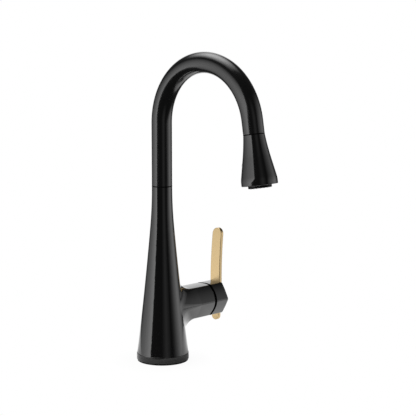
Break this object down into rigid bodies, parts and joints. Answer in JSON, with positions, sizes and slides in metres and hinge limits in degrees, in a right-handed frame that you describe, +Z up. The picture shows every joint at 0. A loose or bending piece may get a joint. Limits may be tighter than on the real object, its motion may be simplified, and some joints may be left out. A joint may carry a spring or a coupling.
{
  "type": "pull-down bar faucet",
  "caption": "Bar faucet with a flared column, swivelling gooseneck, pull-down spray head on a hose and a side lever on a hexagonal arm that sets flow and temperature.",
  "frame": {"origin": "centre of the base on the deck surface", "axes": "+Z up along the column, -Y the way the spout points, +X the side of the lever"},
  "size_m": [0.1224, 0.1983, 0.4381],
  "materials": {
    "black_metal": "smooth satin black over brass",
    "black_shell": "moulded shell in the same satin black",
    "gold": "brushed gold",
    "bare_brass": "machined brass",
    "steel": "stainless steel",
    "copper_tube": "drawn copper tube",
    "rubber": "moulded black rubber",
    "white_plastic": "moulded acetal",
    "grey_plastic": "moulded dark grey plastic",
    "black_plastic": "moulded black plastic",
    "hose_braid": "braided black nylon over a rubber tube",
    "ceramic": "ground alumina",
    "magnet": "sintered magnet"
  },
  "bodies": {
    "body": {"body_shell": "black_metal", "base_ring": "black_metal", "base_gasket": "rubber", "mounting_shank": "bare_brass", "valve_manifold": "bare_brass", "outlet_tube": "copper_tube", "hot_inlet_tube": "copper_tube", "cold_inlet_tube": "copper_tube", "cartridge_gasket": "rubber", "cartridge_body": "white_plastic", "fixed_disc": "ceramic", "cartridge_cap": "white_plastic", "bonnet_nut": "bare_brass", "lower_bush": "white_plastic", "swivel_seal": "rubber", "upper_bush": "white_plastic", "swivel_glide_ring": "black_plastic"},
    "deck_nut": {"mounting_nut": "bare_brass", "deck_washer": "steel"},
    "spout": {"spout_tube": "black_metal", "spout_sleeve": "bare_brass", "spout_clip": "steel", "spray_hose": "hose_braid", "hose_tailpiece": "bare_brass", "dock_collar": "black_plastic", "dock_magnet": "magnet"},
    "hose_end": {"hose_lead": "hose_braid", "hose_ferrule": "bare_brass", "check_valve": "white_plastic"},
    "spray_head": {"head_shell": "black_shell", "dock_plug": "black_plastic", "dock_keeper": "steel", "head_core": "white_plastic", "core_seal": "rubber", "nozzle_mat": "rubber", "spray_face": "grey_plastic", "face_retainer": "grey_plastic", "aerator": "grey_plastic", "head_bumper": "rubber"},
    "spray_button": {"mode_button": "black_plastic", "diverter_spool": "white_plastic", "button_spring": "steel"},
    "valve_rotor": {"cartridge_rotor": "white_plastic", "stem_pin": "steel"},
    "valve_disc": {"moving_disc": "ceramic", "disc_carrier": "white_plastic"},
    "handle": {"cartridge_stem": "steel", "handle_hub": "black_metal", "hub_dust_seal": "rubber", "lever_blade": "gold", "lever_screws": "steel", "hub_set_screw": "steel", "set_screw_plug": "black_plastic"}
  },
  "joints": [
    {"name": "spout_swivel", "type": "hinge", "parent": "body", "child": "spout", "pos_m": [0, 0, 0.2], "axis": [0, 0, 1], "continuous": true},
    {"name": "head_pull", "type": "slide", "parent": "spout", "child": "hose_end", "axis": [0, -0.165, -0.9863], "range_m": [0, 0.18], "deforming": ["hose_lead"]},
    {"name": "head_turn", "type": "hinge", "parent": "hose_end", "child": "spray_head", "pos_m": [0, -0.13825, 0.28349], "axis": [0, -0.165, -0.9863], "continuous": true},
    {"name": "spray_button_press", "type": "slide", "parent": "spray_head", "child": "spray_button", "axis": [0, -0.9863, 0.165], "range_m": [0, 0.0016], "stiffness_N_per_m": 600, "deforming": ["button_spring"]},
    {"name": "lever_temperature", "type": "hinge", "parent": "body", "child": "valve_rotor", "pos_m": [0.043, 0, 0.0603], "axis": [1, 0, 0], "range_deg": [-50, 50]},
    {"name": "lever_flow", "type": "hinge", "parent": "valve_rotor", "child": "handle", "pos_m": [0.043, 0, 0.0603], "axis": [0, 1, 0], "range_deg": [0, 18]},
    {"name": "disc_shift", "type": "slide", "parent": "valve_rotor", "child": "valve_disc", "axis": [0, 0, 1], "range_m": [0, 0.0021]},
    {"name": "deck_nut_travel", "type": "slide", "parent": "body", "child": "deck_nut", "axis": [0, 0, -1], "range_m": [0, 0.08]}
  ],
  "couplings": [
    {"joint": "disc_shift", "follows": "lever_flow", "m_per_rad": 0.0066}
  ]
}
